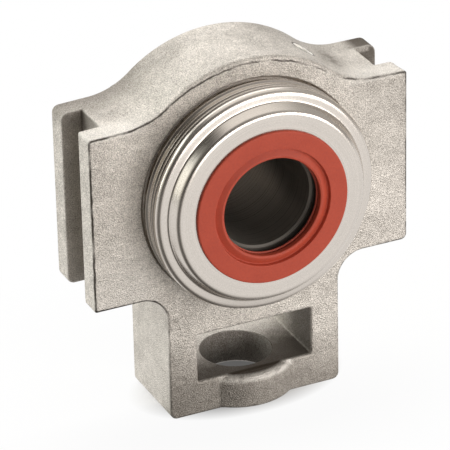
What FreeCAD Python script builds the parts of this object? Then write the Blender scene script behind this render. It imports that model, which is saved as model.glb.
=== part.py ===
import FreeCAD, Part
import math
import os

# Take-up bearing unit: a cast stainless housing that slides between two rails, with a
# self-aligning ball bearing insert, a pressed open cover with a shaft seal at the front
# and a pressed closed cover at the rear.
# Millimetres. The origin is the centre of the balls. The shaft runs along Y and enters
# from the front, at -Y. Z points up the rails, away from the adjusting screw.

# Housing casting
body_thickness = 28.0
overall_width = 102.6
wing_above = 27.2
wing_below = 29.2
wing_corner = 2.2
crown_wall = 6.6
shoulder_fillet = 14.0
neck_fillet = 8.5
lug_width = 56.2
lug_reach = 71.6
lug_corner = 2.2
edge_round = 1.2

# Guide slots in the two sides, where the rails run
slot_width = 12.5
slot_depth = 6.8
slot_chamfer = 0.6

# Window for the nut, and the end wall that the adjusting screw passes through
window_width = 37.9
window_height = 16.0
end_wall = 10.8
screw_hole_radius = 11.0
screw_hole_chamfer = 0.8
boss_radius = 18.5
boss_round = 2.6
boss_rim = 1.2

# Spherical seat, cover recesses and loading notches
seat_gap = 0.05
recess_depth = 3.0
mouth_depth = 1.6
mouth_gap = 0.8
notch_gap = 0.15

# Grease way: a plugged hole in the right shoulder that leads to a groove in the seat
grease_angle = 54.6
plug_radius = 3.0
plug_length = 5.0
plug_sink = 0.7
plug_socket = 3.0
plug_socket_depth = 2.6
grease_channel_radius = 1.5
grease_groove_width = 4.0
grease_groove_depth = 1.0

# Ball bearing insert
bore_radius = 15.0
inner_shoulder = 2.85
inner_rear = 15.9
ring_chamfer = 0.6
sphere_radius = 31.0
outer_ring_width = 19.0
outer_shoulder = 3.0
ball_count = 9
ball_radius = 4.7625
raceway_ratio = 1.04
ball_gap = 0.03

# Outer ring: seal grooves, and the grease holes with the shallow groove over them
seal_groove_depth = 1.3
seal_groove_width = 1.4
seal_groove_inset = 1.25
oil_groove_width = 8.0
oil_groove_centre = 3.0
oil_groove_depth = 0.4
oil_hole_radius = 0.8
oil_hole_place = 6.0
oil_hole_count = 3

# Ball cage: two pressed halves and the rivets between the pockets
cage_sheet = 0.8
cage_width = 3.6
pocket_gap = 0.12
rivet_radius = 0.75
rivet_head_radius = 1.25
rivet_head = 0.5

# Bearing seals: rubber ring, steel shield and the flinger on the inner ring
shield_sheet = 0.6
shield_hole_gap = 1.5
rubber_width = 0.8
lip_gap = 0.1
lip_height = 2.6
flinger_sheet = 0.6
flinger_hub = 1.9
flinger_reach = 5.9
flinger_clear = 0.35

# Set screws that grip the shaft
screw_radius = 3.0
screw_length = 6.5
screw_socket = 3.0
screw_socket_depth = 3.0
screw_from_end = 5.0
screw_tip_gap = 0.2
screw_spread = 120.0
screw_cup = 0.5

# Pressed covers
cover_sheet = 0.8
cover_past_sphere = 4.2
cover_rim = 3.6
cover_step_run = 1.7
cover_step_height = 3.6
cover_under_seal = 1.65
neck_from_face = 1.9
neck_width = 3.3
neck_slope = 0.6
neck_depth = 0.6
neck_bend = 0.3
line_from_neck = 1.05
line_depth = 0.3
shoulder_from_line = 3.75
shoulder_bend = 0.8
step_bend = 0.5
ring_behind_cover = 5.4

# Moulded shaft seal in the front cover
seal_rim_past_bore = 9.25
seal_rim = 0.9
seal_face_past_bore = 3.6
seal_face_sink = 0.7
seal_lip_gap = 0.25
seal_lip = 0.8
seal_back = 2.9

# Fit gaps between pieces that are fixed together
press_gap = 0.02
thread_gap = 0.02

half_body = body_thickness / 2
half_width = overall_width / 2
half_lug = lug_width / 2
recess_floor = half_body - recess_depth
seat_radius = sphere_radius + seat_gap
cover_radius = sphere_radius + cover_past_sphere
cover_step_outer = cover_radius - cover_rim
cover_step_inner = cover_step_outer - cover_step_run
arc_radius = cover_radius + crown_wall
seal_rim_radius = bore_radius + seal_rim_past_bore
seal_face_radius = bore_radius + seal_face_past_bore
cover_hole_radius = seal_rim_radius - cover_under_seal
window_floor = -lug_reach + end_wall
pitch_radius = (bore_radius + sphere_radius) / 2
inner_ring_radius = pitch_radius - inner_shoulder
outer_land_radius = pitch_radius + outer_shoulder
raceway_radius = ball_radius * raceway_ratio
inner_groove_centre = pitch_radius - ball_radius - ball_gap + raceway_radius
outer_groove_centre = pitch_radius + ball_radius + ball_gap - raceway_radius
seal_groove_outer = outer_ring_width / 2 - seal_groove_inset
seal_groove_radius = outer_land_radius + seal_groove_depth
neck_start = half_body + neck_from_face
neck_end = neck_start + neck_width
line_place = neck_end + line_from_neck
cover_shoulder = line_place + shoulder_from_line
cover_depth = cover_shoulder + cover_step_height
inner_front = cover_depth - ring_behind_cover
screw_place = screw_from_end - inner_front
shaft_axis = FreeCAD.Vector(0, 1, 0)
origin = FreeCAD.Vector(0, 0, 0)


def export(shape, node):
    """Write one node and print its size, so that a bad solid is seen at once."""
    shape.exportStep("parts/" + node + ".step")
    print(node, "solids", len(shape.Solids), "valid", shape.isValid(), "mm3", round(shape.Volume, 1))


def in_front(u, v):
    """Point of a front-view outline: u is right, v is up."""
    return FreeCAD.Vector(u, 0, v)


def in_section(r, y):
    """Point of a half section through the shaft axis: r is the radius, y is along the shaft."""
    return FreeCAD.Vector(r, y, 0)


def rounded_edges(corners, place, closed=True):
    """Edges of an outline given as (u, v, bend radius), with an arc at each bent corner."""
    count = len(corners)
    starts, ends, middles = [], [], []
    for i, (u, v, radius) in enumerate(corners):
        here = place(u, v)
        before = place(*corners[i - 1][:2])
        after = place(*corners[(i + 1) % count][:2])
        end_of_open_path = not closed and i in (0, count - 1)
        if radius == 0 or end_of_open_path:
            starts.append(here)
            ends.append(here)
            middles.append(None)
            continue
        back = (before - here).normalize()
        ahead = (after - here).normalize()
        half_angle = back.getAngle(ahead) / 2
        tangent = radius / math.tan(half_angle)
        bisector = (back + ahead).normalize()
        starts.append(here + back * tangent)
        ends.append(here + ahead * tangent)
        middles.append(here + bisector * (radius / math.sin(half_angle) - radius))
    edges = []
    for i in range(count):
        if middles[i] is not None:
            edges.append(Part.Arc(starts[i], middles[i], ends[i]).toShape())
        if i < count - 1 or closed:
            following = starts[(i + 1) % count]
            if ends[i].distanceToPoint(following) > 1e-6:
                edges.append(Part.LineSegment(ends[i], following).toShape())
    return edges


def revolve(edges):
    """Turn a closed half section once round the shaft axis."""
    face = Part.Face(Part.Wire(Part.__sortEdges__(edges)))
    solid = face.revolve(origin, shaft_axis, 360)
    if solid.Volume < 0:
        solid.reverse()
    return solid


def turned(corners):
    """Solid of revolution about the shaft from (radius, y, bend radius) corners."""
    return revolve(rounded_edges(corners, in_section))


def disc(radius, y_low, y_high):
    """Cylinder on the shaft axis between two places along it."""
    base = FreeCAD.Vector(0, y_low, 0)
    return Part.makeCylinder(radius, y_high - y_low, base, shaft_axis)


def sphere(radius, centre):
    """Sphere whose poles lie along the shaft, where no piece touches it."""
    return Part.makeSphere(radius, centre, shaft_axis)


def facing_front(shape):
    """Mirror image of a piece that was drawn at the rear, at positive Y."""
    return shape.mirror(origin, shaft_axis)


def hexagon(across_flats, base, direction, length):
    """Hexagonal prism, for a key socket."""
    corner_radius = across_flats / math.sqrt(3)
    turn = FreeCAD.Rotation(FreeCAD.Vector(0, 0, 1), direction)
    corners = []
    for i in range(6):
        angle = math.radians(60 * i)
        flat = FreeCAD.Vector(corner_radius * math.cos(angle), corner_radius * math.sin(angle), 0)
        corners.append(base + turn.multVec(flat))
    face = Part.Face(Part.makePolygon(corners + corners[:1]))
    return face.extrude(direction * length)


def body_outline():
    """Front outline of the casting: round top, two wings and the lug, all corners rounded."""
    fillet_u = math.sqrt((arc_radius + shoulder_fillet) ** 2 - (wing_above + shoulder_fillet) ** 2)
    fillet_centre = in_front(fillet_u, wing_above + shoulder_fillet)
    towards_axis = (origin - fillet_centre).normalize()
    crown_end = fillet_centre + towards_axis * shoulder_fillet
    wing_start = in_front(fillet_u, wing_above)
    bisector = (towards_axis + FreeCAD.Vector(0, 0, -1)).normalize()
    shoulder = Part.Arc(crown_end, fillet_centre + bisector * shoulder_fillet, wing_start).toShape()
    crown_left = FreeCAD.Vector(-crown_end.x, 0, crown_end.z)
    crown = Part.Arc(crown_left, in_front(0, arc_radius), crown_end).toShape()
    right_side = [
        (fillet_u, wing_above, 0),
        (half_width, wing_above, wing_corner),
        (half_width, -wing_below, wing_corner),
        (half_lug, -wing_below, neck_fillet),
        (half_lug, -lug_reach, lug_corner),
    ]
    left_side = [(-u, v, radius) for u, v, radius in reversed(right_side)]
    edges = rounded_edges(right_side + left_side, in_front, closed=False)
    edges += [shoulder, shoulder.mirror(origin, FreeCAD.Vector(1, 0, 0)), crown]
    return Part.Wire(Part.__sortEdges__(edges))


def casting_blank():
    """Outline given its thickness, with the front and rear edges rounded all round."""
    face = Part.Face(body_outline())
    blank = face.extrude(shaft_axis * body_thickness)
    blank.translate(shaft_axis * -half_body)
    rim = [e for e in blank.Edges if all(abs(abs(v.Y) - half_body) < 1e-6 for v in e.Vertexes)]
    return blank.makeFillet(edge_round, rim)


def screw_boss():
    """Round boss about the adjusting screw, on the end wall only."""
    corners = [
        (0, -lug_reach, 0),
        (boss_radius, -lug_reach, boss_rim),
        (boss_radius, window_floor, boss_round),
        (0, window_floor, 0),
    ]
    face = Part.Face(Part.Wire(rounded_edges(corners, in_front)))
    return face.revolve(origin, FreeCAD.Vector(0, 0, 1), 360)


def guide_slot(side):
    """Cutter for one rail slot, with its mouth broken by a chamfer."""
    floor = side * (half_width - slot_depth)
    mouth = side * (half_width - slot_chamfer)
    outside = side * (half_width + slot_depth)
    half = slot_width / 2
    flare = half + slot_chamfer + slot_depth
    base = -wing_below - slot_depth
    corners = [
        FreeCAD.Vector(floor, -half, base), FreeCAD.Vector(floor, half, base),
        FreeCAD.Vector(mouth, half, base), FreeCAD.Vector(outside, flare, base),
        FreeCAD.Vector(outside, -flare, base), FreeCAD.Vector(mouth, -half, base),
    ]
    face = Part.Face(Part.makePolygon(corners + corners[:1]))
    return face.extrude(FreeCAD.Vector(0, 0, wing_above + wing_below + 2 * slot_depth))


def window():
    """Cutter for the nut window, open at the front and the rear."""
    low = FreeCAD.Vector(-window_width / 2, -half_body - boss_round, window_floor)
    return Part.makeBox(window_width, body_thickness + 2 * boss_round, window_height, low)


def screw_hole():
    """Cutter for the adjusting screw's hole, with both ends chamfered."""
    inner = window_floor
    outer = -lug_reach
    wide = screw_hole_radius + screw_hole_chamfer
    corners = [
        (0, outer, 0), (wide, outer, 0), (screw_hole_radius, outer + screw_hole_chamfer, 0),
        (screw_hole_radius, inner - screw_hole_chamfer, 0), (wide, inner, 0), (0, inner, 0),
    ]
    face = Part.Face(Part.Wire(rounded_edges(corners, in_front)))
    return face.revolve(origin, FreeCAD.Vector(0, 0, 1), 360)


def bearing_seat():
    """Cutter for the spherical seat, the two cover recesses and their wider mouths."""
    cutter = sphere(seat_radius, origin)
    recess_radius = cover_radius + press_gap
    mouth_radius = cover_radius + mouth_gap
    for y_low, y_high in ((-half_body, -recess_floor), (recess_floor, half_body)):
        cutter = cutter.fuse(disc(recess_radius, y_low, y_high))
    for y_low, y_high in ((-half_body, mouth_depth - half_body), (half_body - mouth_depth, half_body)):
        cutter = cutter.fuse(disc(mouth_radius, y_low, y_high))
    groove = disc(seat_radius + grease_groove_depth, -grease_groove_width / 2, grease_groove_width / 2)
    return cutter.fuse(groove)


def loading_notches():
    """Cutter for the two notches by which the insert enters edge-on from the rear."""
    half = outer_ring_width / 2 + notch_gap
    low = FreeCAD.Vector(-half, 0, -seat_radius)
    return Part.makeBox(2 * half, recess_floor, 2 * seat_radius, low)


def grease_direction():
    """Unit vector from the shaft axis to the grease plug."""
    angle = math.radians(grease_angle)
    return FreeCAD.Vector(math.cos(angle), 0, math.sin(angle))


def grease_way():
    """Cutter for the plug's hole and the channel from it down to the seat's groove."""
    out = grease_direction()
    plug_foot = arc_radius - plug_sink - plug_length
    hole = Part.makeCylinder(plug_radius + thread_gap, arc_radius, out * plug_foot, out)
    channel = Part.makeCylinder(grease_channel_radius, arc_radius - seat_radius, out * seat_radius, out)
    return hole.fuse(channel)


def make_housing():
    solid = casting_blank().fuse(screw_boss())
    for cutter in (guide_slot(1), guide_slot(-1), window(), screw_hole(),
                   bearing_seat(), loading_notches(), grease_way()):
        solid = solid.cut(cutter)
    return solid.removeSplitter()


def make_grease_plug():
    """Socket screw plug, sunk just below the cast surface."""
    out = grease_direction()
    foot = out * (arc_radius - plug_sink - plug_length)
    plug = Part.makeCylinder(plug_radius, plug_length, foot, out)
    mouth = foot + out * (plug_length - plug_socket_depth)
    return plug.cut(hexagon(plug_socket, mouth, out, plug_socket_depth))


def raceway(centre_radius):
    """Ring-shaped cutter for one ball groove."""
    return Part.makeTorus(centre_radius, raceway_radius, origin, shaft_axis)


def make_outer_ring():
    """Outer ring: spherical outside, ball groove, two seal grooves, grease groove and holes."""
    half = outer_ring_width / 2
    end_radius = math.sqrt(sphere_radius ** 2 - half ** 2)
    groove_inner = seal_groove_outer - seal_groove_width
    mouth = seal_groove_radius - seal_groove_depth / 4
    inside = [
        (end_radius, half), (mouth, half), (mouth, seal_groove_outer),
        (seal_groove_radius, seal_groove_outer), (seal_groove_radius, groove_inner),
        (outer_land_radius, groove_inner),
    ]
    points = inside + [(r, -y) for r, y in reversed(inside)]
    edges = [Part.LineSegment(in_section(*a), in_section(*b)).toShape()
             for a, b in zip(points, points[1:])]
    crown = Part.Arc(in_section(end_radius, -half), in_section(sphere_radius, 0),
                     in_section(end_radius, half)).toShape()
    ring = revolve(edges + [crown]).cut(raceway(outer_groove_centre))
    low = oil_groove_centre - oil_groove_width / 2
    band = disc(sphere_radius, low, low + oil_groove_width)
    ring = ring.cut(band.cut(disc(sphere_radius - oil_groove_depth, low, low + oil_groove_width)))
    for i in range(oil_hole_count):
        angle = math.radians(360 * i / oil_hole_count)
        out = FreeCAD.Vector(math.cos(angle), 0, math.sin(angle))
        foot = out * pitch_radius + shaft_axis * oil_hole_place
        ring = ring.cut(Part.makeCylinder(oil_hole_radius, sphere_radius, foot, out))
    return ring


def screw_direction(index):
    """Unit vector along which set screw 0 or 1 points outwards."""
    angle = math.radians(90 + screw_spread * index)
    return FreeCAD.Vector(math.cos(angle), 0, math.sin(angle))


def make_inner_ring():
    """Inner ring: long at the front, where its two tapped holes take the set screws."""
    corners = [
        (bore_radius, -inner_front, 0), (inner_ring_radius, -inner_front, 0),
        (inner_ring_radius, inner_rear, 0), (bore_radius, inner_rear, 0),
    ]
    ring = turned(corners)
    ends = [e for e in ring.Edges if e.Curve.TypeId == "Part::GeomCircle"]
    ring = ring.makeChamfer(ring_chamfer, ends)
    ring = ring.cut(raceway(inner_groove_centre))
    for index in range(2):
        foot = shaft_axis * screw_place
        hole = Part.makeCylinder(screw_radius + thread_gap, sphere_radius, foot, screw_direction(index))
        ring = ring.cut(hole)
    return ring


def make_set_screw(index):
    """Grub screw with a cup point and a key socket, just clear of the shaft."""
    out = screw_direction(index)
    tip = shaft_axis * screw_place + out * (bore_radius + screw_tip_gap)
    screw = Part.makeCylinder(screw_radius, screw_length, tip, out)
    rims = [e for e in screw.Edges if e.Curve.TypeId == "Part::GeomCircle"]
    screw = screw.makeChamfer(screw_cup, rims)
    cup = Part.makeCone(screw_radius - screw_cup - screw_cup, 0, screw_cup, tip, out)
    mouth = tip + out * (screw_length - screw_socket_depth)
    return screw.cut(cup).cut(hexagon(screw_socket, mouth, out, screw_socket_depth))


def ball_centre(index):
    angle = math.radians(360 * index / ball_count)
    return FreeCAD.Vector(pitch_radius * math.cos(angle), 0, pitch_radius * math.sin(angle))


def make_ball(index):
    return sphere(ball_radius, ball_centre(index))


def cage_ring(y_low, y_high):
    """Flat ring with the cage's inside and outside radii."""
    inside = pitch_radius - cage_width / 2
    return disc(inside + cage_width, y_low, y_high).cut(disc(inside, y_low, y_high))


def make_cage_front():
    """Front half of the cage: a flat ribbon that cups each ball, drilled for the rivets."""
    pocket = ball_radius + pocket_gap
    reach = pocket + cage_sheet
    half = cage_ring(-cage_sheet, 0)
    room = cage_ring(-reach, 0)
    for index in range(ball_count):
        half = half.fuse(sphere(reach, ball_centre(index)).common(room))
    for index in range(ball_count):
        half = half.cut(sphere(pocket, ball_centre(index)))
        half = half.cut(rivet_cylinder(index, rivet_radius + press_gap, -cage_sheet, 0))
    return half


def rivet_cylinder(index, radius, y_low, y_high):
    """Cylinder along the shaft's direction, midway between two balls."""
    angle = math.radians(360 * (index + 0.5) / ball_count)
    foot = FreeCAD.Vector(pitch_radius * math.cos(angle), y_low, pitch_radius * math.sin(angle))
    return Part.makeCylinder(radius, y_high - y_low, foot, shaft_axis)


def make_cage_rivets():
    """One rivet between each two pockets, headed on both sides of the joined halves."""
    rivets = []
    for index in range(ball_count):
        rivet = rivet_cylinder(index, rivet_radius, -cage_sheet, cage_sheet)
        front_head = rivet_cylinder(index, rivet_head_radius, -cage_sheet - rivet_head, -cage_sheet)
        rear_head = rivet_cylinder(index, rivet_head_radius, cage_sheet, cage_sheet + rivet_head)
        rivets.append(rivet.fuse([front_head, rear_head]).removeSplitter())
    return Part.makeCompound(rivets)


def make_shield_rear():
    """Steel shield, held in the outer ring's seal groove."""
    low = seal_groove_outer - shield_sheet
    rim = seal_groove_radius - press_gap
    hole = inner_ring_radius + shield_hole_gap
    return disc(rim, low, seal_groove_outer).cut(disc(hole, low, seal_groove_outer))


def make_seal_rear():
    """Rubber ring behind the shield, with a lip that bends out along the inner ring."""
    face = seal_groove_outer - shield_sheet
    back = face - rubber_width
    lip = inner_ring_radius + lip_gap
    shoulder = inner_ring_radius + shield_hole_gap
    corners = [
        (shoulder + lip_height, back, 0), (shoulder + lip_height, face, 0), (shoulder, face, 0),
        (lip, face + shield_sheet, 0), (lip, face, 0), (shoulder - rubber_width / 2, back, 0),
    ]
    return turned(corners)


def make_flinger_rear():
    """Pressed flinger, tight on the inner ring and turning just outside the shield."""
    low = seal_groove_outer + flinger_clear
    hub = inner_ring_radius + press_gap / 2
    corners = [
        (hub, low, 0), (hub + flinger_reach, low, 0), (hub + flinger_reach, low + flinger_sheet, 0),
        (hub + flinger_sheet, low + flinger_sheet, 0), (hub + flinger_sheet, low + flinger_hub, 0),
        (hub, low + flinger_hub, 0),
    ]
    return turned(corners)


def sheet_section(path, sheet):
    """Closed section of a pressed sheet.

    path lists the outer skin as (radius, y, bend radius), where the bend radius is the one on
    the inside of the bend. The inner skin lies one sheet away, with concentric bends.
    """
    directions = []
    for (r0, y0, _), (r1, y1, _) in zip(path, path[1:]):
        length = math.hypot(r1 - r0, y1 - y0)
        directions.append(((r1 - r0) / length, (y1 - y0) / length))
    outer, inner = [], []
    for i, (r, y, bend) in enumerate(path):
        before = directions[max(i - 1, 0)]
        after = directions[min(i, len(directions) - 1)]
        across = (-(before[1] + after[1]), before[0] + after[0])
        size = math.hypot(*across)
        across = (across[0] / size, across[1] / size)
        stretch = sheet / (-before[1] * across[0] + before[0] * across[1])
        turn = before[0] * after[1] - before[1] * after[0]
        wide_bend = bend + sheet if bend else 0
        outer.append((r, y, wide_bend if turn > 0 else bend))
        inner.append((r + across[0] * stretch, y + across[1] * stretch, bend if turn > 0 else wide_bend))
    return outer + inner[::-1]


def cover_skirt():
    """Outer skin of a cover from the recess floor to the flat front, with its retaining neck."""
    neck = cover_radius - neck_depth
    return [
        (cover_radius, recess_floor, 0),
        (cover_radius, neck_start, neck_bend),
        (neck, neck_start + neck_slope, neck_bend),
        (neck, neck_end - neck_slope, neck_bend),
        (cover_radius, neck_end, neck_bend),
        (cover_radius, cover_shoulder, shoulder_bend),
        (cover_step_outer, cover_shoulder, step_bend),
        (cover_step_inner, cover_depth, step_bend),
    ]


def make_cover(hole_radius):
    """Pressed cover that faces the rear, open to hole_radius in the middle."""
    path = cover_skirt() + [(hole_radius, cover_depth, 0)]
    cover = turned(sheet_section(path, cover_sheet))
    rolled_line = [
        (cover_radius + line_depth, line_place - 2 * line_depth, 0),
        (cover_radius + line_depth, line_place + 2 * line_depth, 0),
        (cover_radius - line_depth, line_place, 0),
    ]
    return cover.cut(turned(rolled_line))


def make_shaft_seal():
    """Moulded seal that grips the front cover's inner edge, with two lips on the shaft."""
    face = cover_depth + seal_rim
    groove = cover_hole_radius - press_gap
    inner_wall = cover_depth - cover_sheet
    floor = face - seal_face_sink
    lip = bore_radius + seal_lip_gap
    back = cover_depth - seal_back
    waist = (lip + seal_face_radius) / 2 + seal_lip
    corners = [
        (groove, cover_depth, 0), (seal_rim_radius, cover_depth, 0), (seal_rim_radius, face, seal_rim / 2),
        (seal_face_radius, face, 0), (seal_face_radius, floor, 0), (lip, floor + seal_lip / 4, 0),
        (lip, floor - seal_lip, 0), (waist, inner_wall - seal_lip / 4, 0), (lip, back + seal_lip, 0),
        (lip + seal_lip / 2, back, 0), (seal_face_radius + seal_lip, inner_wall - seal_rim, 0),
        (seal_rim_radius, inner_wall - seal_rim, 0), (seal_rim_radius, inner_wall, 0),
        (groove, inner_wall, 0),
    ]
    return turned(corners)


os.makedirs("parts", exist_ok=True)

export(make_housing(), "housing")
export(make_grease_plug(), "grease_plug")
export(facing_front(make_cover(cover_hole_radius)), "front_cover")
export(facing_front(make_shaft_seal()), "shaft_seal")
export(make_cover(0), "rear_cover")
export(make_outer_ring(), "outer_ring")
export(make_inner_ring(), "inner_ring")
for number in range(ball_count):
    export(make_ball(number), "ball_" + str(number + 1))
cage_front = make_cage_front()
export(cage_front, "cage_half_front")
export(cage_front.mirror(origin, shaft_axis), "cage_half_rear")
export(make_cage_rivets(), "cage_rivets")
for name, piece in (("shield", make_shield_rear()), ("bearing_seal", make_seal_rear()),
                    ("flinger", make_flinger_rear())):
    export(piece, name + "_rear")
    export(facing_front(piece), name + "_front")
for number in range(2):
    export(make_set_screw(number), "set_screw_" + str(number + 1))
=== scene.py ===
import math

import bpy
import numpy as np
from mathutils import Matrix, Vector


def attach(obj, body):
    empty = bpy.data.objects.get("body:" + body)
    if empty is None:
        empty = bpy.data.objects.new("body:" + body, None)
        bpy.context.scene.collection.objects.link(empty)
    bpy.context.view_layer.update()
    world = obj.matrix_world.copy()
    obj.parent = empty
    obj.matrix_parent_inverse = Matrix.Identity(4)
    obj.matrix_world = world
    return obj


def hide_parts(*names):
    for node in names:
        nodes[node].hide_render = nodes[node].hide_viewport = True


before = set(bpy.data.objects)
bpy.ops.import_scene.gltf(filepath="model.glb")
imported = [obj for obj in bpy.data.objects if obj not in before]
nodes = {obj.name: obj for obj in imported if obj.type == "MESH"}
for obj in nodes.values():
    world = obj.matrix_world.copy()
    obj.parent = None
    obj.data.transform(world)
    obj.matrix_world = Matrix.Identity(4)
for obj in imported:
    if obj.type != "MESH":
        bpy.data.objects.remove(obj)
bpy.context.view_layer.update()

# Housing
# One investment casting in stainless steel, shot-blasted and left bare: a round crown over the
# bearing seat, two wings with the slots for the rails, and the lug with the nut window, the
# screw hole and its boss. It is worked out as a distance field, so that the fillets flow.

MM = 0.001

HALF_BODY = 14.0
HALF_WIDTH = 51.3
WING_TOP = 27.1
WING_BOTTOM = -29.2
CROWN_RADIUS = 41.78
SHOULDER_FILLET = 22.0
NECK_FILLET = 8.5
HALF_LUG = 28.1
LUG_END = -71.6
LUG_CORNER = 2.2

# The wings' corners at the front and at the rear. They turn from one to the other between two
# places along the shaft.
FRONT_CORNER = 0.6
LEFT_REAR_CORNER = 2.2
LEFT_CORNER_TURN = (-2, 2)
RIGHT_REAR_CORNER = 2.4
RIGHT_CORNER_TURN = (-14.5, -8)
LOW_RIGHT_CORNER = 1.8

# The fall of the wings' tops towards the sides, and where the right one turns level.
WING_FALL = 0.04
FALL_START = 40.7
LEVEL_TURN = (-14, -8)

# Rounding of the rims. The crown's middle, with the rounder rim, lies a little to the right.
FRONT_ROUND = 0.45
REAR_ROUND = 1.4
CROWN_ROUND = 1.5
CROWN_MIDDLE = 6
CROWN_SPREAD = 0.6
CROWN_RISE = (4, 32)

SLOT_HALF = 6.25
SLOT_FLOOR = 44.5
SLOT_EDGE = 0.55
WINDOW_HALF = 18.95
WINDOW_LOW = -60.8
WINDOW_HIGH = -44.8
WINDOW_MIDDLE = (WINDOW_LOW + WINDOW_HIGH) / 2
WINDOW_CORNER = 0.5
WINDOW_EDGE = 0.6
SCREW_HOLE = 11.0
SCREW_HOLE_EDGE = 0.35
BOSS_RADIUS = 18.5
BOSS_TOP_ROUND = 2.6
BOSS_LOW_ROUND = 1.2
BOSS_ROOT = 0.35

SEAT_RADIUS = 31.05
RECESS_RADIUS = 35.22
RECESS_FLOOR = 11.0
MOUTH_RADIUS = 35.5
MOUTH_FLOOR = 12.4
MOUTH_EDGE = 0.25
NOTCH_HALF = 9.65
GREASE_ANGLE = math.radians(54.6)
PLUG_HOLE = 3.02
PLUG_HOLE_EDGE = 0.3
PLUG_FOOT = 36.1

# Small pimples and dents that the mould leaves: across, along, up, radius, height.
PIMPLES = (
    (-35.9, -14, 20.7, 0.8, 0.4), (-38.7, -14, -14.1, 0.8, 0.25), (19.8, -14, -53.8, 1.0, 0.3),
    (-25.6, -14, -37.4, 0.9, 0.3), (22.8, -14, -56.7, 0.6, 0.25), (-24.0, -14, -59.0, 0.8, -0.25),
    (-25.1, 1.5, 33.4, 0.7, 0.35), (-31.9, 10.9, 28.4, 0.7, 0.3), (-31.7, 13.0, 28.5, 0.5, 0.2),
    (-41.6, 3.4, 27.4, 2.3, -0.45), (-39.4, 4.6, 27.4, 1.6, -0.3), (-40.8, -1.8, 27.4, 1.2, -0.2),
)


def rounded_box(u, v, half_u, half_v, corner):
    """Distance to a box with round corners: the length of what lies past the shrunken box, less
    the corner's radius."""
    over_u = np.abs(u) - half_u + corner
    over_v = np.abs(v) - half_v + corner
    outside = np.hypot(np.maximum(over_u, 0), np.maximum(over_v, 0))
    return outside + np.minimum(np.maximum(over_u, over_v), 0) - corner


def blend_in(first, second, radius):
    """What lies in both fields, with the edge between them rounded: past the shrunken pair the
    distance is the length of the two excesses, less the radius."""
    over_first = np.maximum(first + radius, 0)
    over_second = np.maximum(second + radius, 0)
    inside = np.minimum(np.maximum(first, second), -radius)
    return inside + np.hypot(over_first, over_second)


def blend_on(first, second, radius):
    """What lies in either field, with a fillet between them: the mirror image of blend_in."""
    return -blend_in(-first, -second, radius)


def fillet(distance, u, v, centre, radius, first_way, second_way, reach=1.45):
    """Distance with a concave fillet laid in: between the two ways that point from the fillet's
    centre to its ends, and within reach radii of it, the surface is the circle about it."""
    du, dv = u - centre[0], v - centre[1]
    turn = first_way[0] * second_way[1] - first_way[1] * second_way[0]
    past_first = (first_way[0] * dv - first_way[1] * du) * turn
    before_second = (du * second_way[1] - dv * second_way[0]) * turn
    away = np.hypot(du, dv)
    near = (past_first >= 0) & (before_second >= 0) & (away < reach * radius)
    return np.where(near, radius - away, distance)


def ease(value, low, high):
    """0 below low and 1 above high, with the smooth cubic 3t^2 - 2t^3 between them."""
    t = np.clip((value - low) / (high - low), 0, 1)
    return t * t * (3 - 2 * t)


def wing_corner(x, y, z):
    """Radius of the wings' corners: small at the front and larger at the rear. On the right it
    grows from the front on at the top, and is even at the bottom."""
    left = FRONT_CORNER + (LEFT_REAR_CORNER - FRONT_CORNER) * ease(y, *LEFT_CORNER_TURN)
    right = FRONT_CORNER + (RIGHT_REAR_CORNER - FRONT_CORNER) * ease(y, *RIGHT_CORNER_TURN)
    return np.where(x > 0, np.where(z > 0, right, LOW_RIGHT_CORNER), left)


def wing_fall(x, y, z):
    """How far the wings' tops lie below the level: a slope towards the sides, which the right
    wing has only at its front."""
    level = np.where(x > 0, ease(y, *LEVEL_TURN), 0)
    slope_down = WING_FALL * np.maximum(np.abs(x) - FALL_START, 0)
    return np.where(z > 0, slope_down * (1 - level), 0)


def outline(x, y, z):
    """Distance to the outline seen from the front: the nearest of round crown, wings and lug,
    with shoulder and neck fillets."""
    u = np.abs(x)
    crown = np.hypot(u, z) - CROWN_RADIUS
    middle = (WING_TOP + WING_BOTTOM) / 2
    half_height = WING_TOP - middle
    v = z + wing_fall(x, y, z) - middle
    wings = rounded_box(u, v, HALF_WIDTH, half_height, wing_corner(x, y, z))
    lug = rounded_box(u, z - LUG_END / 2, HALF_LUG, -LUG_END / 2, LUG_CORNER)
    shape = np.minimum(np.minimum(crown, wings), lug)
    reach = CROWN_RADIUS + SHOULDER_FILLET
    rise = WING_TOP + SHOULDER_FILLET
    aside = math.sqrt(reach ** 2 - rise ** 2)
    to_crown = (-aside / reach, -rise / reach)
    shape = fillet(shape, u, z, (aside, rise), SHOULDER_FILLET, to_crown, (0, -1))
    neck = (HALF_LUG + NECK_FILLET, WING_BOTTOM - NECK_FILLET)
    return fillet(shape, u, z, neck, NECK_FILLET, (-1, 0), (0, 1))


def on_crown(x, z):
    """1 over the middle of the crown and 0 at the wings, for the rim that is rounder up there."""
    return ease(z - np.abs(x - CROWN_MIDDLE) * CROWN_SPREAD, *CROWN_RISE)


def boss_field(across, z):
    """Distance to the round boss on the end wall, rounder at its top than at its foot."""
    half = (WINDOW_LOW - LUG_END) / 2
    middle = (WINDOW_LOW + LUG_END) / 2
    rounding = np.where(z > middle, BOSS_TOP_ROUND, BOSS_LOW_ROUND)
    return blend_in(across - BOSS_RADIUS, np.abs(z - middle) - half, rounding)


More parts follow.
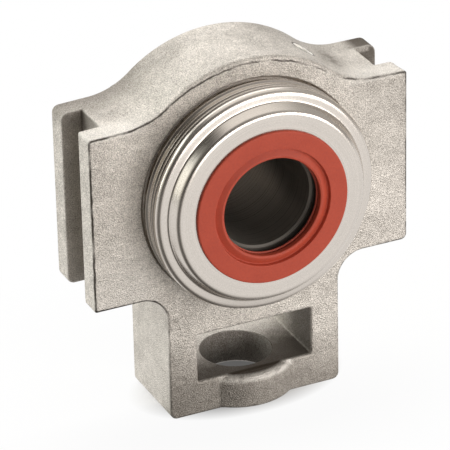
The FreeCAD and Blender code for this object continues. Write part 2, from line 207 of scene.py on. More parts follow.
def casting(x, y, z):
    """Distance to the casting: the outline given its thickness and rim rounding, plus the boss,
    less the slots, window, holes and seat, with each edge broken by its own small radius."""
    front_rim = FRONT_ROUND + (CROWN_ROUND - FRONT_ROUND) * on_crown(x, z)
    rim = np.where(y > 0, REAR_ROUND, front_rim)
    shape = blend_in(outline(x, y, z), np.abs(y) - HALF_BODY, rim)
    across = np.hypot(x, y)
    shape = np.maximum(blend_on(shape, boss_field(across, z), BOSS_ROOT), LUG_END - z)
    for side, along, up, radius, height in PIMPLES:
        far = ((x - side) ** 2 + (y - along) ** 2 + (z - up) ** 2) / radius ** 2
        shape = shape - height * np.exp(-far)
    slot = np.maximum(SLOT_FLOOR - np.abs(x), np.abs(y) - SLOT_HALF)
    shape = blend_in(shape, -slot, SLOT_EDGE)
    half_height = WINDOW_HIGH - WINDOW_MIDDLE
    window = rounded_box(x, z - WINDOW_MIDDLE, WINDOW_HALF, half_height, WINDOW_CORNER)
    shape = blend_in(shape, -window, WINDOW_EDGE)
    screw_hole = np.maximum(across - SCREW_HOLE, z - WINDOW_HIGH)
    shape = blend_in(shape, -screw_hole, SCREW_HOLE_EDGE)
    from_shaft = np.hypot(x, z)
    seat = np.sqrt(x ** 2 + y ** 2 + z ** 2) - SEAT_RADIUS
    recess = np.maximum(from_shaft - RECESS_RADIUS, RECESS_FLOOR - np.abs(y))
    notches = np.maximum(np.maximum(np.abs(x) - NOTCH_HALF, from_shaft - SEAT_RADIUS), -y)
    shape = np.maximum(shape, -np.minimum(np.minimum(seat, recess), notches))
    mouth = np.maximum(from_shaft - MOUTH_RADIUS, MOUTH_FLOOR - np.abs(y))
    shape = blend_in(shape, -mouth, MOUTH_EDGE)
    out = x * math.cos(GREASE_ANGLE) + z * math.sin(GREASE_ANGLE)
    aside = np.hypot(y, z * math.cos(GREASE_ANGLE) - x * math.sin(GREASE_ANGLE))
    plug_hole = np.maximum(aside - PLUG_HOLE, PLUG_FOOT - out)
    return blend_in(shape, -plug_hole, PLUG_HOLE_EDGE)


def surface_net(distance, lines):
    """Quad mesh of distance = 0 over a grid with the given lines along x, y and z. Each cell that
    the surface crosses gets a vertex at the mean of its edges' crossings, and each crossed edge
    gets a quad of the four cells round it."""
    grid = np.meshgrid(*lines, indexing="ij")
    field = distance(*grid)
    cells = tuple(n - 1 for n in field.shape)
    total = np.zeros(cells + (3,))
    count = np.zeros(cells)
    crossings = []
    for axis in range(3):
        low = [slice(None)] * 3
        high = [slice(None)] * 3
        low[axis], high[axis] = slice(None, -1), slice(1, None)
        start, end = field[tuple(low)], field[tuple(high)]
        crossed = (start < 0) != (end < 0)
        share = np.where(crossed, start / np.where(crossed, start - end, 1), 0)
        spots = [g[tuple(low)] + 0 for g in grid]
        spots[axis] = spots[axis] + share * (grid[axis][tuple(high)] - spots[axis])
        others = [a for a in range(3) if a != axis]
        for shift_a in (0, 1):
            for shift_b in (0, 1):
                view = [slice(None)] * 3
                view[others[0]] = slice(shift_a, shift_a + cells[others[0]])
                view[others[1]] = slice(shift_b, shift_b + cells[others[1]])
                hit = crossed[tuple(view)]
                count += hit
                for k in range(3):
                    total[..., k] += np.where(hit, spots[k][tuple(view)], 0)
        crossings.append((crossed, start < 0))
    used = count > 0
    points = total[used] / count[used][:, None]
    number = np.full(cells, -1)
    number[used] = np.arange(len(points))
    quads = []
    for axis, (crossed, outward) in enumerate(crossings):
        first, second = (axis + 1) % 3, (axis + 2) % 3
        inner = [slice(None)] * 3
        inner[first] = inner[second] = slice(1, -1)
        where = np.argwhere(crossed[tuple(inner)])
        where[:, [first, second]] += 1
        ways = outward[tuple(where.T)]
        corners = []
        for step_a, step_b in ((1, 1), (0, 1), (0, 0), (1, 0)):
            cell = where.copy()
            cell[:, first] -= step_a
            cell[:, second] -= step_b
            corners.append(number[tuple(cell.T)])
        quad = np.stack(corners, 1)
        quads.append(np.where(ways[:, None], quad, quad[:, ::-1]))
    return points, np.concatenate(quads)


def slope(distance, points, step=0.02):
    """Direction in which the distance grows, from central differences along x, y and z."""
    parts = []
    for axis in range(3):
        shift = np.zeros(3)
        shift[axis] = step
        ahead = distance(*(points + shift).T)
        behind = distance(*(points - shift).T)
        parts.append((ahead - behind) / (2 * step))
    return np.stack(parts, 1)


def settle(distance, points, rounds=4, pace=0.8, least=0.25):
    """Points moved onto the surface: each round steps back along the slope by the distance over
    the slope's square, times the pace. A square under the least counts as the least."""
    for _ in range(rounds):
        way = slope(distance, points)
        size = np.maximum((way ** 2).sum(1), least)
        points = points - way * (pace * distance(*points.T) / size)[:, None]
    return points


def piece(name, points, quads, finish, body):
    """One smooth mesh in metres from points in millimetres and an array of quads."""
    mesh = bpy.data.meshes.new(name)
    mesh.from_pydata((points * MM).tolist(), [], quads.tolist())
    mesh.polygons.foreach_set("use_smooth", np.ones(len(quads), bool))
    mesh.materials.append(finish.material)
    made = bpy.data.objects.new(name, mesh)
    bpy.context.scene.collection.objects.link(made)
    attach(made, body)
    return made


class Value:
    """A shader socket used in plain arithmetic: each operator adds one Math node."""

    def __init__(self, finish, socket):
        self.finish = finish
        self.socket = socket

    def maths(self, operation, *values):
        sockets = dict(enumerate(values))
        return self.finish.node("ShaderNodeMath", {"operation": operation}, sockets)

    def or_more(self, other):
        """The larger of two masks at each point."""
        return self.maths("MAXIMUM", self, other)

    def __add__(self, other):
        return self.maths("ADD", self, other)

    __radd__ = __add__

    def __mul__(self, other):
        return self.maths("MULTIPLY", self, other)

    __rmul__ = __mul__

    def __sub__(self, other):
        return self.maths("SUBTRACT", self, other)

    def __rsub__(self, other):
        return self.maths("SUBTRACT", other, self)

    def __truediv__(self, other):
        return self.maths("DIVIDE", self, other)

    def __pow__(self, other):
        return self.maths("POWER", self, other)

    def __abs__(self):
        return self.maths("ABSOLUTE", self)


class Finish:
    """A procedural material. node() adds any shader node and gives back one of its outputs."""

    def __init__(self, name, **constants):
        self.material = bpy.data.materials.new(name)
        self.material.use_nodes = True
        self.tree = self.material.node_tree
        self.shader = self.tree.nodes["Principled BSDF"]
        self.place = self.node("ShaderNodeTexCoord", output="Object")
        self.give(**constants)

    def node(self, kind, settings=None, sockets=None, output=0):
        made = self.tree.nodes.new(kind)
        for key, value in (settings or {}).items():
            setattr(made, key, value)
        for key, value in (sockets or {}).items():
            self.feed(made.inputs[key], value)
        return Value(self, made.outputs[output])

    def feed(self, socket, value):
        """Link a value to a socket, or set the socket to a plain number or colour."""
        if isinstance(value, Value):
            self.tree.links.new(value.socket, socket)
        elif isinstance(value, tuple) and socket.type == "RGBA":
            socket.default_value = (*value, 1)
        else:
            socket.default_value = value

    def give(self, **values):
        """Feed the shader's own sockets: base_color, roughness, normal and so on."""
        for key, value in values.items():
            name = key.replace("_", " ").title().replace("Ior", "IOR")
            self.feed(self.shader.inputs[name], value)

    def axes(self):
        """Where a point lies across, along the shaft and up, in metres."""
        parts = self.node("ShaderNodeSeparateXYZ", None, {0: self.place}).socket.node
        return [Value(self, output) for output in parts.outputs]

    def noise(self, scale, detail=3.0, rough=0.5, place=None):
        sockets = {"Vector": place or self.place, "Scale": scale, "Detail": detail,
                   "Roughness": rough}
        return self.node("ShaderNodeTexNoise", None, sockets)

    def remap(self, value, low, high, to_low=0.0, to_high=1.0):
        """Value stretched from one range to another, and held inside the second."""
        sockets = {0: value, 1: low, 2: high, 3: to_low, 4: to_high}
        return self.node("ShaderNodeMapRange", None, sockets)

    def rise(self, length, low, high, to_low=0.0, to_high=1.0):
        """A length in metres turned into a mask: 0 up to one place and 1 past the other, both in
        millimetres, or the two levels given."""
        return self.remap(length, low * MM, high * MM, to_low, to_high)

    def fade(self, length, low, high):
        """The same the other way round: 1 up to the first place and 0 past the second."""
        return self.rise(length, low, high, 1.0, 0.0)

    def mix(self, factor, first, second):
        """Colour between two colours. A Mix node has its colours at 6 and 7, and gives one at 2."""
        sockets = {0: factor, 6: first, 7: second}
        return self.node("ShaderNodeMix", {"data_type": "RGBA"}, sockets, 2)

    def bump(self, height, depth, strength=1.0):
        """Normal tilted by a height field that is depth metres deep."""
        sockets = {"Height": height, "Distance": depth, "Strength": strength}
        return self.node("ShaderNodeBump", None, sockets)


DULL_METAL = (0.285, 0.261, 0.232)
LIGHT_METAL = (0.88, 0.827, 0.764)
# The next five colours are painted light and shade: highlights on the metal, the glint round the
# plug's hole, shade in hollows, shade along the seam and shade round the plug.
HIGHLIGHT_METAL = (0.96, 0.93, 0.88)
GLINT_METAL = (1.0, 0.98, 0.93)
SHADE_COLOUR = (0.078, 0.06, 0.043)
SEAM_SHADE_COLOUR = (0.07, 0.06, 0.05)
PLUG_SHADE = (0.1, 0.085, 0.07)

cast_finish = Finish("cast_stainless", metallic=0.85, roughness=0.5)
side, depth, height = cast_finish.axes()
from_axis = (side * side + depth * depth) ** 0.5
grain = cast_finish.noise(2700, 2.0, 0.6)
lumps = cast_finish.noise(420, 2.0)
wander = cast_finish.noise(260, 3.0, 0.7) - 0.5
at_front = cast_finish.rise(depth, 0.8 - HALF_BODY, 0.2 - HALF_BODY)
on_face = cast_finish.rise(abs(depth), HALF_BODY - 1.2, HALF_BODY - 0.3)
at_right = cast_finish.rise(side, -10, 10)


def blasted_metal():
    """Bare metal: dull and light points from two fine noises, over slow drifts of tone."""
    fine = cast_finish.noise(4200, 1.0)
    clouds = cast_finish.noise(110, 3.0)
    speckle = cast_finish.remap(grain * 0.6 + fine * 0.4, 0.39, 0.61) - 0.5
    drift = cast_finish.remap(clouds * 0.6 + lumps * 0.4, 0.36, 0.64) - 0.5
    tone = cast_finish.remap(speckle * 0.95 + drift * 0.35, -0.6, 0.6)
    return cast_finish.mix(tone, DULL_METAL, LIGHT_METAL)


def seam_shade_line():
    """Painted shade along the mould's parting line on the front edge, where the edge attribute is
    near
    0: a dark line standing for the shade in a fine groove there. It wanders and breaks, is stronger
    on the left and faint on the lug."""
    edge = cast_finish.node("ShaderNodeAttribute", {"attribute_name": "edge"}, output=2)
    on_line = cast_finish.remap(abs(edge + wander * 1.1), 0.1, 0.45, 1.0, 0.0)
    broken = cast_finish.remap(cast_finish.noise(190, 2.0), 0.32, 0.56, 0.1, 0.9)
    strength = cast_finish.remap(broken + cast_finish.fade(side, -16, -4) * 0.35, 0.0, 1.0)
    return on_line * at_front * strength * cast_finish.rise(height, -36, -30, 0.3, 1.0)


def lug_shade():
    """Painted shade in the screw hole and in the nut window, and on the faces darker towards the
    lug's end. In the window it grows towards the front and the right, and spares the front edge and
    the boss's rim."""
    in_hole = cast_finish.fade(from_axis, SCREW_HOLE + 0.1, SCREW_HOLE + 0.3) \
        * cast_finish.rise(height, WINDOW_LOW + 0.3, WINDOW_LOW - 0.2)
    half_height = WINDOW_HIGH - WINDOW_MIDDLE
    from_middle = abs(height - WINDOW_MIDDLE * MM)
    in_window = cast_finish.fade(abs(side), WINDOW_HALF + 0.25, WINDOW_HALF + 0.55) \
        * cast_finish.fade(from_middle, half_height + 0.1, half_height + 0.4)
    within_rim = cast_finish.fade(from_axis, BOSS_RADIUS - 2.9, BOSS_RADIUS - 1.9)
    behind_front = cast_finish.rise(depth, 0.4 - HALF_BODY, 1.2 - HALF_BODY)
    window_shade = cast_finish.rise(depth + side * -0.2 + wander * (8 * MM), -6, 9, 0.84, 0.1)
    right_wall = cast_finish.rise(side, WINDOW_HALF - 0.55, WINDOW_HALF - 0.15, 1.0, 0.72)
    foot = cast_finish.rise(height * -1.0 - side * 0.17, 50, 65, 0.0, 0.45) * on_face
    return in_hole * 0.45 + in_window * within_rim.or_more(behind_front) * window_shade * right_wall + foot


def slot_shade():
    """Painted shade in the guide slots and on the top of the rib behind the right one. It is
    heavier on the right, where only the slot's upper end stays light next to the floor."""
    in_slot = cast_finish.rise(abs(side), SLOT_FLOOR - 0.3, SLOT_FLOOR + 0.2) \
        * cast_finish.fade(abs(depth), SLOT_HALF - 0.05, SLOT_HALF + 0.35)
    on_floor = cast_finish.rise(abs(side), SLOT_FLOOR + 0.2, SLOT_FLOOR + 0.8, 0.4, 0.0)
    blotches = cast_finish.remap(grain * 0.4 + lumps * 0.6, 0.4, 0.6, 0.06, 0.3)
    lit_slot_end = cast_finish.rise(height, WING_TOP - 1.9, WING_TOP - 1.3) \
        * cast_finish.fade(side, HALF_WIDTH - 2.8, HALF_WIDTH - 1.8)
    slot = in_slot * (blotches + on_floor + at_right * 0.55) * (1.0 - lit_slot_end * at_right * 0.8)
    rib_top = cast_finish.rise(abs(side), 42, 46) \
        * cast_finish.rise(depth, SLOT_HALF + 0.15, SLOT_HALF + 1.25) \
        * cast_finish.rise(height, WING_TOP - 2.3, WING_TOP - 1.3)
    return slot + rib_top * at_right * 0.7


def top_shade():
    """Painted shade in the valley between the crown and the right wing's top, along the crown's
    rear edge and, thinly, on the upper part of the right wing's faces."""
    from_valley = abs(side - 33.5 * MM + wander * (4 * MM))
    valley = cast_finish.fade(from_valley, 0.4, 4.2) \
        * cast_finish.fade(abs(depth - 1 * MM), 2, 11) \
        * cast_finish.rise(height, WING_TOP - 0.9, WING_TOP - 0.3)
    rear_left = cast_finish.rise(side, -8, -28, 0.0, 0.5)
    rear_right = cast_finish.rise(side, 2, 14, 0.0, 0.2)
    rear_edge = cast_finish.rise(depth, -5, 12) * cast_finish.rise(height, 20, 26) \
        * (rear_left + rear_right)
    right_wing = cast_finish.rise(side, 30, 42) * on_face
    return valley * cast_finish.remap(lumps, 0.35, 0.6, 0.3, 0.6) + rear_edge \
        + right_wing * cast_finish.rise(height, -16, 16, 0.0, 0.15)


def painted_highlights():
    """Painted highlights, as brighter metal: sharp edges, the front of the wings' tops, the left
    wing's foot and the boss's upper rim."""
    sharp = cast_finish.node("ShaderNodeNewGeometry", output="Pointiness")
    edges = cast_finish.remap(sharp, 0.53, 0.6) * cast_finish.remap(lumps, 0.4, 0.55, 0.2, 0.8)
    wing_tops = cast_finish.rise(abs(side), 30, 38) * cast_finish.rise(depth, -4, -9) \
        * cast_finish.rise(height, WING_TOP - 1.6, WING_TOP - 0.9) * (0.3 - at_right * 0.02)
    left_foot = cast_finish.rise(side, -28, -36) \
        * cast_finish.rise(height, -4, -22, 0.0, 0.22) * on_face
    boss_rim = cast_finish.fade(abs(from_axis - (BOSS_RADIUS - 0.9) * MM), 0.5, 1.3) \
        * cast_finish.fade(abs(height - (WINDOW_LOW - 0.8) * MM), 0.6, 1.6) \
        * cast_finish.rise(side, -18, 6, 0.35, 1.0) \
        * cast_finish.remap(lumps, 0.35, 0.5, 0.3, 1.0) * at_front
    return edges.or_more(wing_tops).or_more(left_foot).or_more(boss_rim)


def plug_glint_and_shade(metal):
    """Metal with a painted glint, a bright rim round the grease plug's hole, and painted shade, a
    dark ring round that.
    """
    along_crown = height * math.cos(GREASE_ANGLE) - side * math.sin(GREASE_ANGLE)
    from_plug = (depth * depth + along_crown * along_crown) ** 0.5
    outwards = side * math.cos(GREASE_ANGLE) + height * math.sin(GREASE_ANGLE)
    on_crown_side = cast_finish.rise(outwards, PLUG_FOOT - 0.1, CROWN_RADIUS - 1.28)
    rim = cast_finish.fade(abs(from_plug - (PLUG_HOLE + 0.13) * MM), 0.2, 0.3)
    ring = cast_finish.rise(abs(from_plug - (PLUG_HOLE + 0.68) * MM), 0.2, 0.5, 0.8, 0.0)
    metal = cast_finish.mix(ring * on_crown_side, metal, PLUG_SHADE)
    return cast_finish.mix(rim * on_crown_side, metal, GLINT_METAL)


# The casting's colour: painted shade darkens the blasted metal, painted highlights brighten it
# where there is no painted shade, and the seam's painted shade and the plug's painted glint and
# shade lie over all.
painted_shade = lug_shade() + slot_shade() + top_shade()
seam_shade = seam_shade_line()
metal = cast_finish.mix(painted_shade, blasted_metal(), SHADE_COLOUR)
metal = cast_finish.mix(painted_highlights() * (1.0 - painted_shade), metal, HIGHLIGHT_METAL)
cast_finish.give(
    base_color=cast_finish.mix(seam_shade, plug_glint_and_shade(metal), SEAM_SHADE_COLOUR),
    roughness=cast_finish.remap(grain, 0.3, 0.7, 0.44, 0.6) + painted_shade * 0.2,
    normal=cast_finish.bump(grain * 0.7 + lumps * 0.3 - seam_shade * 0.3, 0.0005, 0.95),
)

# The grid's lines are 0.5 mm apart, and along the shaft closer where the slots' edges and the
# rims lie. Those of one half are given as start, end and spacing.
STEP = 0.5
LINES_ALONG = ((0.4, 5.3, 0.8), (5.6, 7.1, 0.36), (7.6, 10.2, 0.8), (10.6, 15.0, 0.32),
               (15.2, 19.4, 0.6))
along_x = np.arange(-HALF_WIDTH - STEP, HALF_WIDTH + 1.5 * STEP, STEP)
along_z = np.arange(LUG_END - STEP, CROWN_RADIUS + 1.5 * STEP, STEP)
half_y = np.concatenate([np.arange(*run) for run in LINES_ALONG])
along_y = np.concatenate([-half_y[::-1], half_y])
points, quads = surface_net(casting, (along_x, along_y, along_z))
points = settle(casting, points)
facing = slope(casting, points)
facing /= np.maximum(np.linalg.norm(facing, axis=1), 1e-6)[:, None]

# The seam lies this far inside the outline, and further in where the crown's rim is rounder.
SEAM_INSET = 0.25
CROWN_SEAM_INSET = 1.4
seam_place = SEAM_INSET + (CROWN_SEAM_INSET - SEAM_INSET) * on_crown(points[:, 0], points[:, 2])
from_seam = outline(*points.T) + seam_place

# The lug is a piece of its own, so that neither piece has too many faces.
LUG_TOP = -30.5
in_lug = points[quads].mean(1)[:, 2] < LUG_TOP
for name, part in (("housing_body", ~in_lug), ("housing_lug", in_lug)):
    used, renumbered = np.unique(quads[part], return_inverse=True)
    faces = renumbered.reshape(-1, 4)
    made = piece(name, points[used], faces, cast_finish, "frame")
    made.data.normals_split_custom_set_from_vertices(facing[used].tolist())
    edge = made.data.attributes.new("edge", "FLOAT", "POINT")
    edge.data.foreach_set("value", from_seam[used].astype(np.float32))
    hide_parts("housing")

# Grease plug
# A small turned socket screw in the right shoulder. It closes the grease way to the seat.

plug_finish = Finish("plug_steel", metallic=1.0, roughness=0.38)
turned = plug_finish.noise(900, 3.0)
plug_finish.give(
    base_color=plug_finish.mix(turned, (0.42, 0.39, 0.35), (0.6, 0.57, 0.52)),
    normal=plug_finish.bump(turned, 0.00006, 0.6),
)


def dress(finish, *names):
    """Give CAD nodes their finish, on every material slot that they have."""
    for name in names:
        mesh = nodes[name].data
        mesh.materials.clear()
        mesh.materials.append(finish.material)


dress(plug_finish, "grease_plug")

# Ball bearing insert
# Ground rings of bearing steel, polished balls in a riveted ribbon cage of pressed steel sheet.
# The inner ring is long at the front, where two set screws grip the shaft.


def ring_marks(finish, scale):
    """Fine lines round the shaft axis, as a grindstone or a lathe tool leaves them: a noise read
    at the point's radius and its place along the shaft."""
    across, along, up = finish.axes()
    radius = (across * across + up * up) ** 0.5
    ring = finish.node("ShaderNodeCombineXYZ", None, {0: radius, 1: along, 2: 0.0})
    return finish.noise(scale, 2.0, 0.5, ring)


# The rings' dark, warm colour is painted shade for the bore, which lies deep behind the seal in the
# closed housing.
ring_finish = Finish("bearing_steel", metallic=0.6, roughness=0.3)
marks = ring_marks(ring_finish, 4000)
ring_finish.give(
    base_color=ring_finish.mix(marks, (0.21, 0.194, 0.172), (0.28, 0.258, 0.229)),
    roughness=ring_finish.remap(marks, 0.3, 0.7, 0.24, 0.36),
    normal=ring_finish.bump(marks, 0.000006, 0.5),
)
dress(ring_finish, "outer_ring", "inner_ring")

BALL_COUNT = 9
ball_finish = Finish("ball_steel", metallic=1.0, roughness=0.06)
ball_haze = ball_finish.noise(300, 2.0)
ball_finish.give(
    base_color=ball_finish.mix(ball_haze, (0.7, 0.7, 0.7), (0.78, 0.77, 0.76)),
    roughness=ball_finish.remap(ball_haze, 0.3, 0.7, 0.04, 0.1),
)
dress(ball_finish, *["ball_%d" % (i + 1) for i in range(BALL_COUNT)])

cage_finish = Finish("cage_steel", metallic=1.0, roughness=0.34)
rolled = cage_finish.noise(700, 3.0)
cage_finish.give(
    base_color=cage_finish.mix(rolled, (0.5, 0.48, 0.45), (0.64, 0.62, 0.59)),
    roughness=cage_finish.remap(rolled, 0.3, 0.7, 0.28, 0.42),
    normal=cage_finish.bump(rolled, 0.00002, 0.4),
)
dress(cage_finish, "cage_half_front", "cage_half_rear", "cage_rivets")
dress(cage_finish, "shield_front", "shield_rear", "flinger_front", "flinger_rear")

nitrile_finish = Finish("black_rubber", roughness=0.62)
skin = nitrile_finish.noise(800, 3.0)
nitrile_finish.give(
    base_color=nitrile_finish.mix(skin, (0.012, 0.012, 0.013), (0.03, 0.029, 0.028)),
    normal=nitrile_finish.bump(skin, 0.00004, 0.4),
)
dress(nitrile_finish, "bearing_seal_front", "bearing_seal_rear")

screw_finish = Finish("screw_steel", metallic=1.0, roughness=0.4)
blackened = screw_finish.noise(600, 3.0)
screw_finish.give(
    base_color=screw_finish.mix(blackened, (0.16, 0.155, 0.15), (0.3, 0.29, 0.28)),
    roughness=screw_finish.remap(blackened, 0.3, 0.7, 0.32, 0.5),
)
dress(screw_finish, "set_screw_1", "set_screw_2")

# Covers
# Two covers pressed from 0.8 mm stainless sheet and pushed into the recesses: a retaining neck,
# a rolled line, a rounded shoulder and a stepped front. The front one is open for the shaft.

COVER_RADIUS = 35.2
COVER_SHEET = 0.8
COVER_END = RECESS_FLOOR + 0.05
COVER_NECK = COVER_RADIUS - 1.2
COVER_SHOULDER = 24.0
SHOULDER_FALL = 0.45
COVER_DEPTH = 27.6
STEP_OUTER = 31.6
STEP_INNER = 29.9
COVER_HOLE = 22.6
CLOSED_HOLE = 0.02


def bent(corners, spacing=0.45, arc_steps=7, most_cuts=24):
    """Points along a path of (radius, place, bend) corners: straight runs cut into short lengths,
    and each bend an arc that touches both of its runs."""
    corners = [np.array(c, float) for c in corners]
    path = [corners[0][:2]]
    for before, here, after in zip(corners, corners[1:], corners[2:]):
        back = before[:2] - here[:2]
        ahead = after[:2] - here[:2]
        back /= np.linalg.norm(back)
        ahead /= np.linalg.norm(ahead)
        half = math.acos(np.clip(back @ ahead, -1, 1)) / 2
        middle = back + ahead
        middle /= np.linalg.norm(middle)
        centre = here[:2] + middle * here[2] / math.sin(half)
        first = here[:2] + back * here[2] / math.tan(half) - centre
        last = here[:2] + ahead * here[2] / math.tan(half) - centre
        share = np.linspace(0, 1, arc_steps)[:, None]
        sweep = math.acos(np.clip(first @ last / (here[2] ** 2), -1, 1))
        arc = np.sin((1 - share) * sweep) * first + np.sin(share * sweep) * last
        path.extend(centre + arc / math.sin(sweep))
    path.append(corners[-1][:2])
    path = np.array(path)
    cuts = []
    for start, end in zip(path, path[1:]):
        count = math.ceil(np.linalg.norm(end - start) / spacing)
        cuts.append(np.linspace(start, end, min(most_cuts, max(1, count)), endpoint=False))
    return np.concatenate(cuts + [path[-1:]])


def lathe(section, turns=288):
    """Grid turned about the shaft: the closed section (radius, place) is carried round a circle.
    The quads are turned over where the section runs the other way, so that they face outwards."""
    angle = np.linspace(0, 2 * math.pi, turns, endpoint=False)[:, None]
    radius, place = section[None, :, 0], section[None, :, 1]
    points = np.stack([radius * np.cos(angle), place + 0 * angle, radius * np.sin(angle)], 2)
    count = len(section)
    row, column = np.meshgrid(np.arange(turns), np.arange(count), indexing="ij")
    next_row, next_column = (row + 1) % turns, (column + 1) % count
    quads = np.stack([row * count + column, row * count + next_column,
                      next_row * count + next_column, next_row * count + column], 2)
    following = np.roll(section, -1, axis=0)
    area = (section[:, 0] * following[:, 1] - following[:, 0] * section[:, 1]).sum()
    quads = quads.reshape(-1, 4)
    return points.reshape(-1, 3), quads if area > 0 else quads[:, ::-1]


def cover_section(hole_radius):
    """Closed section of a rear-facing cover: outer skin with its neck and rolled lines, and a
    plainer inner skin one sheet or more inside it."""
    side, inside = COVER_RADIUS, COVER_RADIUS - COVER_SHEET
    shoulder = COVER_SHOULDER - SHOULDER_FALL
    inner_bend = 0.6 * COVER_SHEET
    outer = [
        (side, COVER_END, 0), (side, 12.1, 0.3),
        (COVER_NECK, 12.9, 0.4), (COVER_NECK, 15.1, 0.3),
        (side, 15.7, 0.25), (side, 16.2, 0.15), (side - 0.65, 16.7, 0.25),
        (side - 0.25, 18.5, 0.3), (side - 0.9, 19.0, 0.2), (side - 0.9, 19.5, 0.2),
        (side, 20.0, 0.2), (side, 20.6, 0.15), (side - 0.5, 21.0, 0.12), (side, 21.5, 0.1),
        (side, shoulder, 1.9), (STEP_OUTER, COVER_SHOULDER, 0.9),
        (STEP_INNER, COVER_DEPTH, 1.9), (hole_radius, COVER_DEPTH, 0),
    ]
    inner = [
        (hole_radius, COVER_DEPTH - COVER_SHEET, 0),
        (STEP_INNER - inner_bend, COVER_DEPTH - COVER_SHEET, 1.1),
        (STEP_OUTER - inner_bend, COVER_SHOULDER - COVER_SHEET, 1.2),
        (inside, shoulder - COVER_SHEET, 1.0), (inside, 21.5, 0.2),
        (COVER_NECK - COVER_SHEET, 20.5, 0.3), (COVER_NECK - COVER_SHEET, 12.5, 0.3),
        (inside, 11.8, 0.2), (inside, COVER_END, 0),
    ]
    return np.concatenate([bent(outer, 0.3), bent(inner, 0.5)])


cover_finish = Finish("pressed_stainless", metallic=1.0, roughness=0.2)
draw_lines = ring_marks(cover_finish, 2600)
smudge = cover_finish.noise(60, 2.0)
matt = cover_finish.noise(2400, 2.0)
drawn = draw_lines * 0.4 + matt * 0.6
cover_finish.give(
    base_color=cover_finish.mix(drawn, (0.53, 0.489, 0.448), (0.766, 0.707, 0.648)),
    roughness=cover_finish.remap(draw_lines * 0.5 + smudge * 0.5, 0.35, 0.65, 0.2, 0.3),
    normal=cover_finish.bump(drawn, 0.000016, 0.6),
)

# A section is drawn at the rear. Its places change sign for the front.
TO_FRONT = (1, -1)
points, quads = lathe(cover_section(COVER_HOLE) * TO_FRONT)
front_cover = piece("front_cover_pressing", points, quads, cover_finish,
                    "frame")
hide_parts("front_cover")

points, quads = lathe(cover_section(CLOSED_HOLE))
rear_cover = piece("rear_cover_pressing", points, quads, cover_finish,
                   "frame")
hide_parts("rear_cover")

# Shaft seal
# Brick-red silicone, moulded with a broad flat flange over the cover's inner edge and a lip ring
# that rises towards the shaft. A narrow groove parts the two.

SEAL_RIM = 24.25
SEAL_FACE = 28.5
SEAL_WAIST = COVER_HOLE - 0.02
FLANGE_INNER = 18.65
FLANGE_BACK = COVER_DEPTH + 0.02
CLAMP_FACE = COVER_DEPTH - COVER_SHEET - 0.02
seal_section = [
    (SEAL_WAIST, FLANGE_BACK, 0), (SEAL_RIM, FLANGE_BACK, 0.05), (SEAL_RIM, SEAL_FACE, 0.45),
    (FLANGE_INNER, SEAL_FACE, 0.22), (18.45, 27.3, 0.2), (18.1, 27.3, 0.15),
    (16.3, 28.25, 0.5), (15.55, 28.05, 0.35), (15.5, 26.4, 0.3), (16.9, 26.1, 0.1),
    (15.3, 25.6, 0.1), (15.6, 24.75, 0.1), (19.4, 25.9, 0.2), (SEAL_RIM, 26.0, 0.1),
    (SEAL_RIM, CLAMP_FACE, 0.05), (SEAL_WAIST, CLAMP_FACE, 0.02), (SEAL_WAIST, 27.55, 0),
]
seal_finish = Finish("red_silicone", roughness=0.55, specular_ior_level=0.35)
bloom = seal_finish.noise(140, 3.0)
matt = seal_finish.noise(1400, 3.0)
red = seal_finish.mix(bloom * 0.4 + matt * 0.6, (0.29, 0.031, 0.015), (0.49, 0.073, 0.035))
seal_finish.give(
    base_color=red,
    roughness=seal_finish.remap(matt, 0.3, 0.7, 0.48, 0.64),
    normal=seal_finish.bump(matt, 0.0001, 0.7),
)
points, quads = lathe(bent(seal_section) * TO_FRONT)
shaft_seal = piece("shaft_seal_moulding", points, quads, seal_finish, "frame")
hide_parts("shaft_seal")

# Floor, light and camera
# A pale floor under the lug's end, a soft light tent and the photograph's own viewpoint.

FLOOR_HALF = 4
FLOOR_LEVEL = LUG_END * MM
floor_mesh = bpy.data.meshes.new("floor")
floor_corners = [(x * FLOOR_HALF, y * FLOOR_HALF, FLOOR_LEVEL)
                 for x, y in ((-1, -1), (1, -1), (1, 1), (-1, 1))]
floor_mesh.from_pydata(floor_corners, [], [(0, 1, 2, 3)])
floor = bpy.data.objects.new("floor", floor_mesh)
bpy.context.scene.collection.objects.link(floor)

# The paper's colour is painted shade, which the metal mirrors: dark close in front of the foot, a
# painted shadow under the screw hole, dark far away and in two wedges, to the front left and,
# less, to the rear left.
floor_finish = Finish("floor_paper", roughness=0.9)
across, along, _ = floor_finish.axes()
away = (across * across + along * along) ** 0.5 + 0.001
to_front_left = (across * -0.75 + along * -0.66) / away
to_rear_left = (across * -0.416 + along * 0.909) / away
clear_of_foot = floor_finish.rise(away, 30, 80, 0.05, 1.0)
behind = floor_finish.rise(along, -30, 0)
shade = floor_finish.remap(to_front_left, 0.75, 0.97, 1.0, 0.0) \
    * (clear_of_foot + (1.0 - clear_of_foot) * behind) \
    * floor_finish.rise(away, 400, 1000, 1.0, 0.15) \
    * floor_finish.rise(away, SCREW_HOLE + 0.8, SCREW_HOLE + 1.4, 0.1, 1.0) \
    * floor_finish.remap(to_rear_left, 0.85, 1.0, 1.0, 0.65)
floor_finish.give(base_color=floor_finish.mix(shade, (0.14, 0.135, 0.13), (0.88, 0.86, 0.83)))

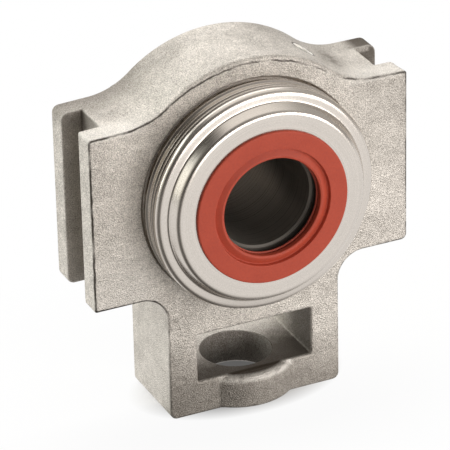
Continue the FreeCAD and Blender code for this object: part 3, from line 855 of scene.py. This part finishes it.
# Seen by the camera the paper burns out to white, apart from the object's own soft shadow and the
# painted shade close round the foot, and glossy metal sees it glow.
under = (across * across + along * along * 2.5) ** 0.5
white = floor_finish.rise(under, 20, 35, 0.1, 0.95) + floor_finish.rise(under, 50, 150, 0.0, 0.05)
seen = floor_finish.node("ShaderNodeLightPath", output="Is Camera Ray")
mirrored = floor_finish.node("ShaderNodeLightPath", output="Is Glossy Ray")
glow_share = seen * white + mirrored * shade * 0.9
glow = floor_finish.node("ShaderNodeEmission", None, {"Color": (1, 1, 1), "Strength": 1.0})
paper = floor_finish.node("ShaderNodeMixShader", None, {0: glow_share, 2: glow})
floor_links = floor_finish.tree.links
floor_links.new(floor_finish.shader.outputs[0], paper.socket.node.inputs[1])
floor_links.new(paper.socket, floor_finish.tree.nodes["Material Output"].inputs[0])
floor_mesh.materials.append(floor_finish.material)


class Sky(Finish):
    """The world's shader, with the same way of adding nodes. Its place is the view direction."""

    def __init__(self, name):
        self.world = bpy.data.worlds.new(name)
        self.world.use_nodes = True
        self.tree = self.world.node_tree
        self.shader = self.tree.nodes["Background"]
        self.place = self.node("ShaderNodeTexCoord", output="Generated")

    def towards(self, way, low, high):
        """0 to 1 as the view direction's dot product with a given way goes from low to high."""
        sockets = {0: self.place, 1: Vector(way).normalized()}
        settings = {"operation": "DOT_PRODUCT"}
        along_way = self.node("ShaderNodeVectorMath", settings, sockets, "Value")
        return self.remap(along_way, low, high)


DARK_WALL = (0.05, 0.045, 0.04)
sky = Sky("light_tent")
at_rear = sky.towards((0, 1, 0.08), -0.42, 0.0)
at_right = sky.towards((1, 0.1, 0.1), -0.5, 0.6)
rear_right = sky.mix(sky.towards((0, 0, 1), 0.05, 0.35), (0.46, 0.445, 0.42), (0.52, 0.505, 0.48))
rear = sky.mix(at_right, (0.3, 0.31, 0.28), rear_right)
rear = sky.mix(sky.towards((0, 0, 1), 0.6, 0.92), rear, (1.2, 1.17, 1.12))
rear = sky.mix(sky.towards((-0.95, 0.15, 0.15), 0.78, 0.9), rear, (1.0, 0.98, 0.88))
rear = sky.mix(sky.towards((-0.66, 0.06, 0.75), 0.9, 0.975), rear, DARK_WALL)
front = sky.mix(at_right, DARK_WALL, (0.45, 0.43, 0.41))
sky.give(color=sky.mix(at_rear, front, rear), strength=1.0)
bpy.context.scene.world = sky.world


def lamp(name, place, towards, width, height, watts, colour=(1, 1, 1)):
    """Soft rectangular lamp at a place in metres, turned towards a point."""
    light = bpy.data.lights.new(name, "AREA")
    light.shape = "RECTANGLE"
    light.size, light.size_y = width, height
    light.energy = watts
    light.color = colour
    made = bpy.data.objects.new(name, light)
    made.location = place
    way = Vector(towards) - Vector(place)
    made.rotation_euler = way.to_track_quat("-Z", "Y").to_euler()
    bpy.context.scene.collection.objects.link(made)


lamp("key_light", (0.4, -1.07, 0.18), (0, 0, -0.01), 1.7, 0.5, 12.5, (1.0, 0.97, 0.94))
lamp("back_light", (0.09, 0.62, 0.45), (0, 0, 0), 0.9, 0.7, 3.3)
lamp("side_light", (-0.8, 0.5, 0.3), (0, 0, -0.02), 0.8, 0.7, 5.0, (0.96, 1.0, 0.97))

# The camera was solved from the photograph, which is 450 pixels wide.
AZIMUTH, ELEVATION, ROLL = (math.radians(a) for a in (-24.634, 27.479, -1.330))
DISTANCE = 1.132473
PIXELS, FOCAL_PIXELS = 450, 3792.683
SENSOR = 36
target = Vector((-0.002554, 0, -0.018117))
back = Vector((math.sin(AZIMUTH) * math.cos(ELEVATION), -math.cos(AZIMUTH) * math.cos(ELEVATION),
               math.sin(ELEVATION)))
right = (-back).cross(Vector((0, 0, 1))).normalized()
up = right.cross(-back)
right, up = (right * math.cos(ROLL) + up * math.sin(ROLL),
             up * math.cos(ROLL) - right * math.sin(ROLL))
camera_data = bpy.data.cameras.new("camera")
camera_data.sensor_width = SENSOR
camera_data.lens = SENSOR * FOCAL_PIXELS / PIXELS
camera_data.clip_start = 0.05
camera_data.clip_end = 20
camera = bpy.data.objects.new("camera", camera_data)
turn = Matrix((right, up, back)).transposed().to_4x4()
camera.matrix_world = Matrix.Translation(target + back * DISTANCE) @ turn
bpy.context.scene.collection.objects.link(camera)
bpy.context.scene.camera = camera
bpy.context.scene.view_settings.view_transform = "Standard"
